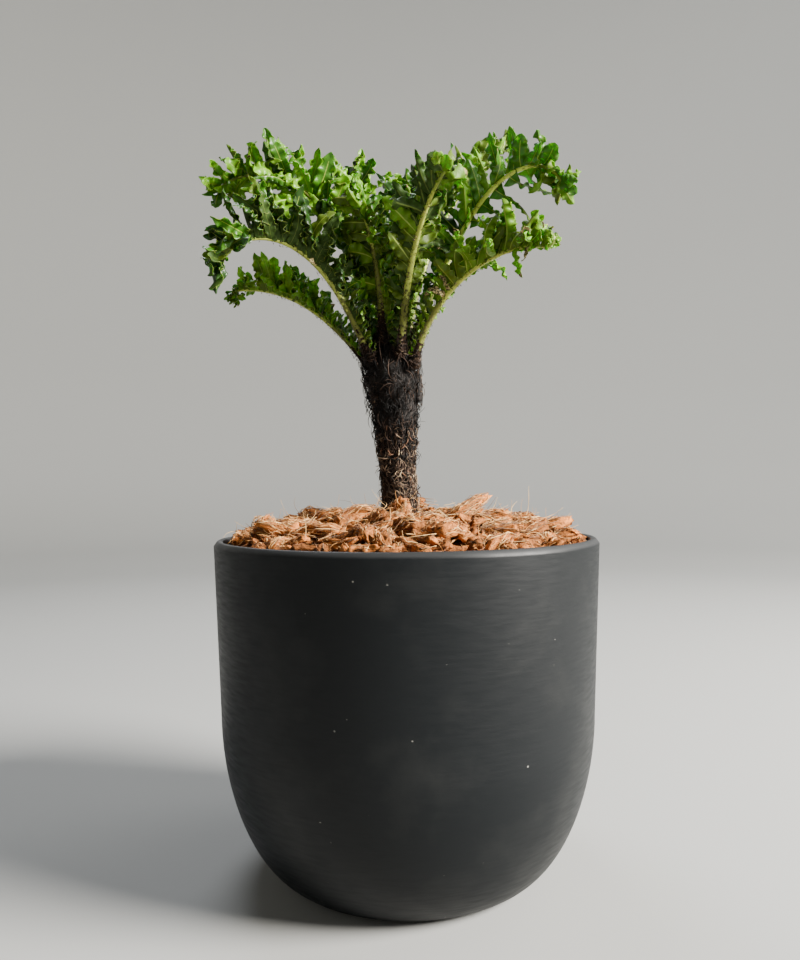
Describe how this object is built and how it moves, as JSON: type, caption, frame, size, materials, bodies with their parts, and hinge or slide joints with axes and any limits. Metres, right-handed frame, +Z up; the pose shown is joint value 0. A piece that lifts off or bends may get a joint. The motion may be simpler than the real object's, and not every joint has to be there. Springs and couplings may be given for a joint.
{
  "type": "potted dwarf tree fern",
  "caption": "Dwarf tree fern with crisped fronds on a short, shaggy, waisted trunk, in a matt black pot mulched with coconut husk.",
  "frame": {"origin": "middle of the pot's flat underside", "axes": "+Z up along the pot's axis, -Y towards the viewer of the picture, +X to the viewer's right"},
  "size_m": [0.1644, 0.16, 0.3154],
  "materials": {
    "pot_ceramic": "matt near-black, faintly dusty",
    "growing_medium": "dark, damp and crumbly",
    "coconut_husk": "dry, fibrous, orange-brown",
    "trunk_fibre": "shaggy black-brown hair over bark, browner towards the foot",
    "frond_leaf": "living leaf, half glossy, bright to dark green, a few browned tips"
  },
  "bodies": {
    "root": {"pot": "pot_ceramic", "growing_medium": "growing_medium", "husk_mulch": "coconut_husk", "trunk": "trunk_fibre", "frond_front": "frond_leaf", "frond_right_high": "frond_leaf", "frond_left": "frond_leaf", "frond_right_low": "frond_leaf", "frond_left_low": "frond_leaf", "frond_left_high": "frond_leaf", "frond_right_back": "frond_leaf", "frond_left_back": "frond_leaf", "frond_back_low": "frond_leaf", "frond_back_high": "frond_leaf", "frond_centre": "frond_leaf"}
  },
  "joints": []
}
